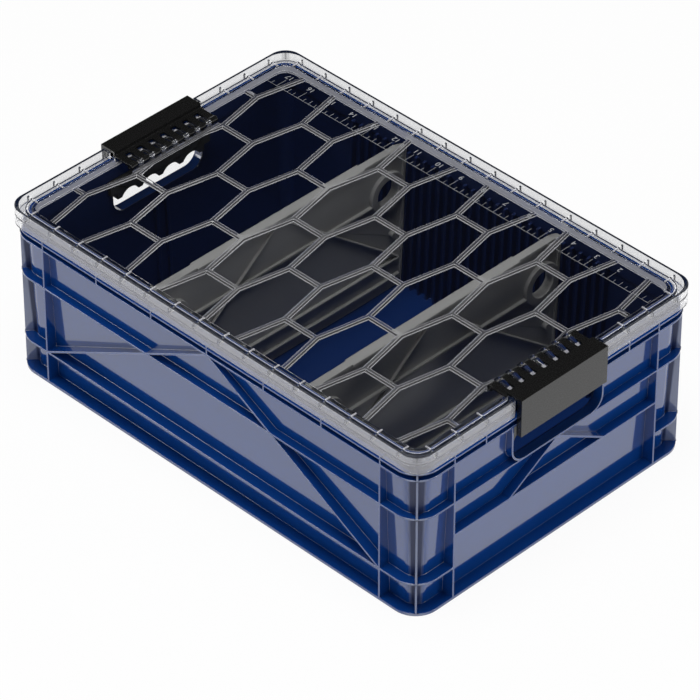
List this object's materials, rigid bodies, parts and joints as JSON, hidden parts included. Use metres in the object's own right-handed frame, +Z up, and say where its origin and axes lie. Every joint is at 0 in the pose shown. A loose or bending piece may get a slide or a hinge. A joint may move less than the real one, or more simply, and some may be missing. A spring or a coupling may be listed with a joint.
{
  "type": "storage crate",
  "caption": "Ribbed rectangular storage crate with a clear lid, swinging end latches, hand openings with finger grips and slot-in dividers.",
  "frame": {"origin": "centre of the base, on the surface the crate rests on", "axes": "+X along the length towards the right-hand latch, +Y across to the ruler side of the lid, +Z up"},
  "size_m": [0.4824, 0.3204, 0.166],
  "materials": {
    "tub": "glossy blue moulding",
    "lid": "clear moulding",
    "latch": "black satin moulding",
    "pin": "drawn wire",
    "divider": "grey satin moulding"
  },
  "bodies": {
    "crate": {"crate_tub": "tub", "left_grip": "latch", "right_grip": "latch"},
    "lid": {"lid": "lid", "left_hinge_pin": "pin", "right_hinge_pin": "pin"},
    "left_latch": {"left_latch": "latch"},
    "right_latch": {"right_latch": "latch"},
    "left_divider": {"left_divider": "divider"},
    "right_divider": {"right_divider": "divider"}
  },
  "joints": [
    {"name": "lid_lift", "type": "slide", "parent": "crate", "child": "lid", "axis": [0, 0, 1], "range_m": [0, 0.18]},
    {"name": "left_latch_swing", "type": "hinge", "parent": "lid", "child": "left_latch", "pos_m": [-0.2065, 0, 0.1598], "axis": [0, 1, 0], "range_deg": [0, 105]},
    {"name": "right_latch_swing", "type": "hinge", "parent": "lid", "child": "right_latch", "pos_m": [0.2065, 0, 0.1598], "axis": [0, -1, 0], "range_deg": [0, 105]},
    {"name": "left_divider_play", "type": "slide", "parent": "crate", "child": "left_divider", "axis": [0, 0, 1], "range_m": [0, 0.0035]},
    {"name": "right_divider_play", "type": "slide", "parent": "crate", "child": "right_divider", "axis": [0, 0, 1], "range_m": [0, 0.0035]}
  ]
}
